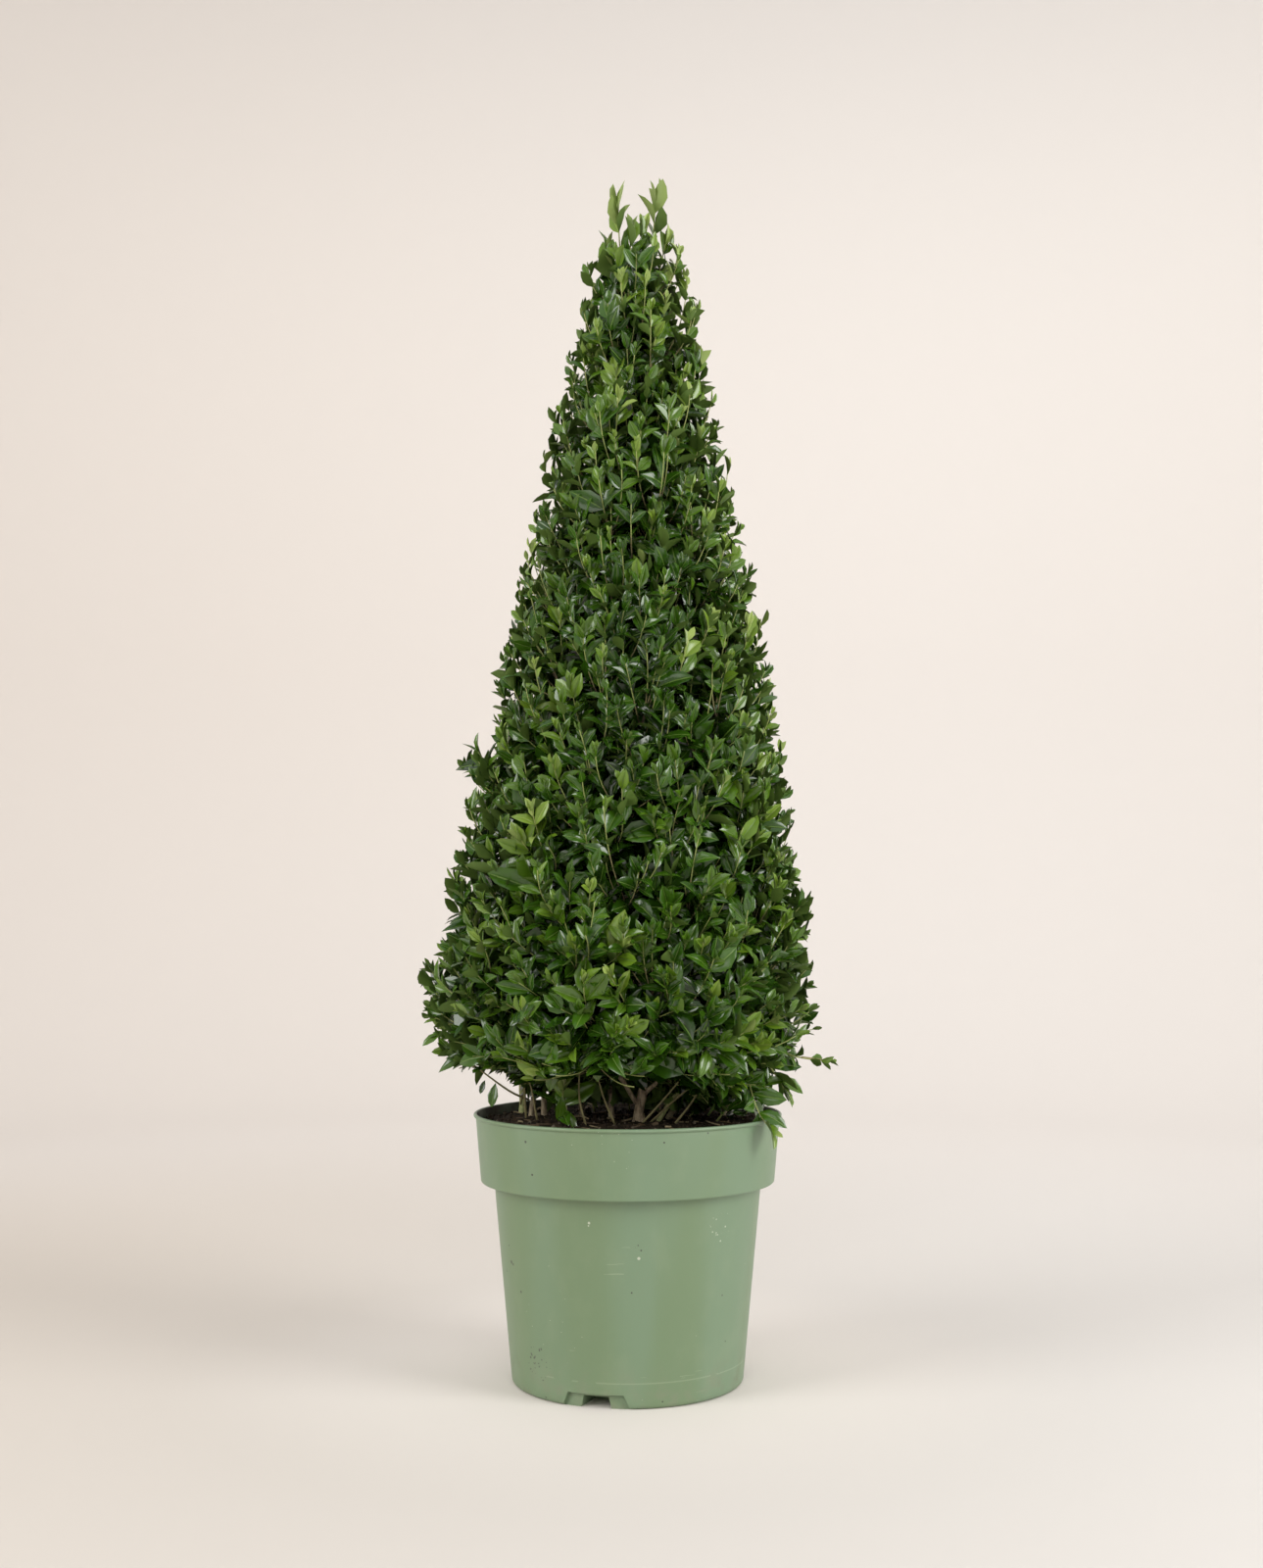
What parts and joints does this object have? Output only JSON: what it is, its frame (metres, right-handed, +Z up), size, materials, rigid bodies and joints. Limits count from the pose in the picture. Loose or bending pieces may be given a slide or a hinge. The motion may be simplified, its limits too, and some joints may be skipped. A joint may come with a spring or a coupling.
{
  "type": "potted box-leaved holly pyramid topiary",
  "caption": "Small-leaved evergreen clipped to a tall round pyramid over several slim stems, in a deep-banded nursery pot.",
  "frame": {"origin": "middle of the pot's flat underside", "axes": "+Z up the plant, -Y towards the front that the picture shows, +X to the right seen from there"},
  "size_m": [0.3924, 0.3611, 1.1946],
  "materials": {
    "pot_plastic": "satin",
    "compost": "matte",
    "bark": "matte",
    "green_bark": "matte",
    "leaves": "satin"
  },
  "bodies": {
    "root": {"pot": "pot_plastic", "soil": "compost", "trunk": "bark", "stem_left_green": "green_bark", "stem_left_brown": "bark", "stem_left_inner": "bark", "stem_front_left": "green_bark", "stem_back_left": "bark", "stem_centre_left": "bark", "stem_right_pale": "bark", "stem_right_brown": "bark", "stem_right_back": "bark", "stem_back": "bark", "bough_left": "bark", "bough_right": "bark", "crown_skirt": "leaves", "crown_lower": "leaves", "crown_middle": "leaves", "crown_upper": "leaves", "crown_tip": "leaves"}
  },
  "joints": []
}
